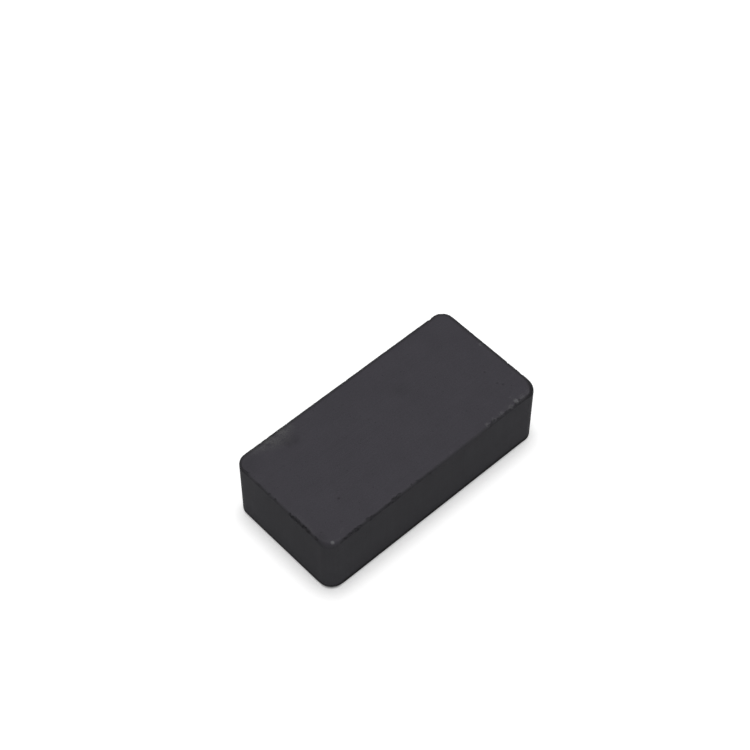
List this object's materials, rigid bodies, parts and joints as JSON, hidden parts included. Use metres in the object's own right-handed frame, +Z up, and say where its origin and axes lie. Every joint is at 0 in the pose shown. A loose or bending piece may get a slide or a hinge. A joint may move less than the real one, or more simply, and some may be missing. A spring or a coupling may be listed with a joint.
{
  "type": "ferrite block magnet",
  "caption": "Rectangular sintered ferrite permanent magnet with rounded upright corners, flat ground pole faces and worn, lightly chipped edges.",
  "frame": {"origin": "centre of the lower pole face, the face that the block lies on", "axes": "+X along the length, +Y along the width, +Z up through the thickness, which is the magnetised direction"},
  "size_m": [0.04, 0.0198, 0.0111],
  "materials": {
    "ferrite": "matte dark grey sintered ferrite, ground on both pole faces and as pressed on the walls"
  },
  "bodies": {
    "root": {"ferrite_block": "ferrite"}
  },
  "joints": []
}
